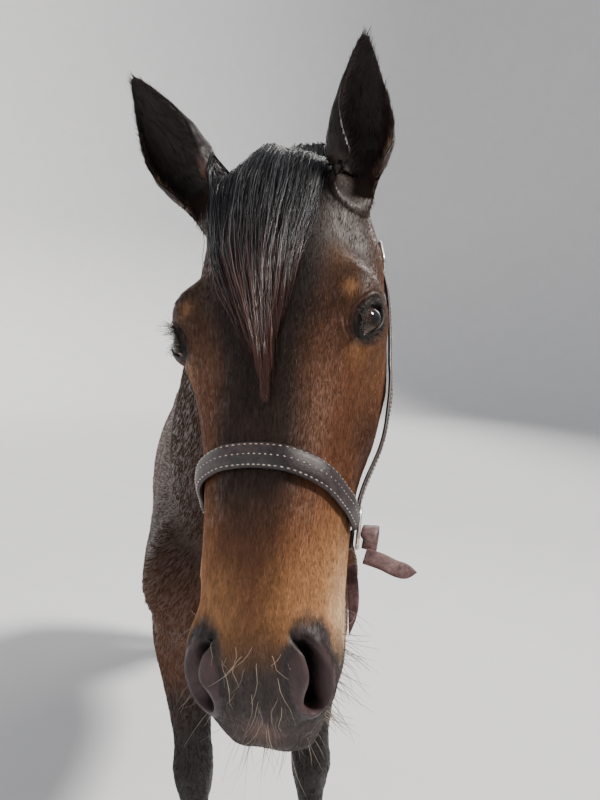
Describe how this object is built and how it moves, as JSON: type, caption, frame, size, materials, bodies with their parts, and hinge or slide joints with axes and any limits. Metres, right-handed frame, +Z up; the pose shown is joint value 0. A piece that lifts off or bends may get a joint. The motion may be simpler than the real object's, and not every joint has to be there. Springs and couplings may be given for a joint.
{
  "type": "heavy horse, standing model",
  "caption": "Life-size standing heavy horse in a leather halter, head held high and turned a little to its right, mane on the left of the neck, tail hanging straight.",
  "frame": {"origin": "on the floor, at the middle of the horse's bounding box", "axes": "+Z up, the horse faces -Y, its left side is +X"},
  "size_m": [0.69, 2.7101, 2.0432],
  "materials": {
    "coat": "short glossy seal-brown hair",
    "hair": "long black horsehair",
    "hoof": "dark horn with fine growth lines",
    "eye": "dark brown, wet and glossy",
    "leather": "dark brown padded leather with pale stitching",
    "steel": "worn nickel-plated wire"
  },
  "bodies": {
    "root": {"torso": "coat", "neck": "coat", "head": "coat", "ear_left": "coat", "ear_right": "coat", "eye_left": "eye", "eye_right": "eye", "tail": "hair", "foreleg_left": "coat", "foreleg_right": "coat", "hindleg_left": "coat", "hindleg_right": "coat", "hoof_foreleg_left": "hoof", "hoof_foreleg_right": "hoof", "hoof_hindleg_left": "hoof", "hoof_hindleg_right": "hoof", "halter_noseband": "leather", "halter_crown": "leather", "halter_throat_strap": "leather", "halter_center_strap": "leather", "halter_cheek_left": "leather", "halter_cheek_right": "leather", "halter_chin_strap_left": "leather", "halter_chin_strap_right": "leather", "halter_ring_left": "steel", "halter_ring_right": "steel", "halter_upper_ring_left": "steel", "halter_upper_ring_right": "steel", "halter_chin_ring": "steel"}
  },
  "joints": []
}
